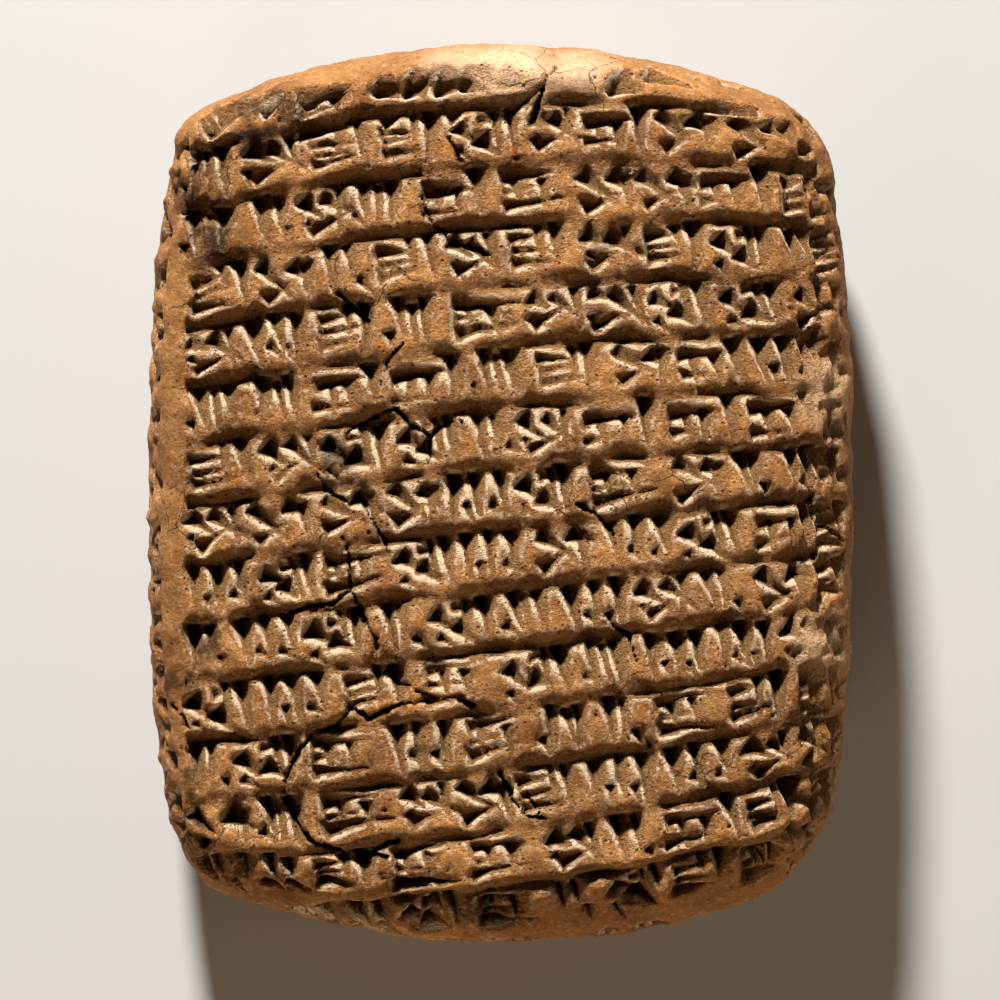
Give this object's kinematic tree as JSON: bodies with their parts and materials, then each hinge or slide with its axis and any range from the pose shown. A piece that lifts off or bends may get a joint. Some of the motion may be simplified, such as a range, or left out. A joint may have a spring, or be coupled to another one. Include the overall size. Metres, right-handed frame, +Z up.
{
  "type": "cuneiform tablet",
  "caption": "Pillow-shaped clay letter tablet, written in close rows of wedge strokes on its front and edges, lying on its reverse.",
  "frame": {"origin": "middle of the slab's box, on the pressed flat of the reverse that the tablet lies on", "axes": "+Z up out of the written front, +Y towards the head of the text, +X to the right along the lines"},
  "size_m": [0.083, 0.106, 0.028],
  "materials": {
    "fired_clay": "matt unglazed tan clay, with paler dust in the strokes and dark stains"
  },
  "bodies": {
    "root": {"tablet": "fired_clay"}
  },
  "joints": []
}
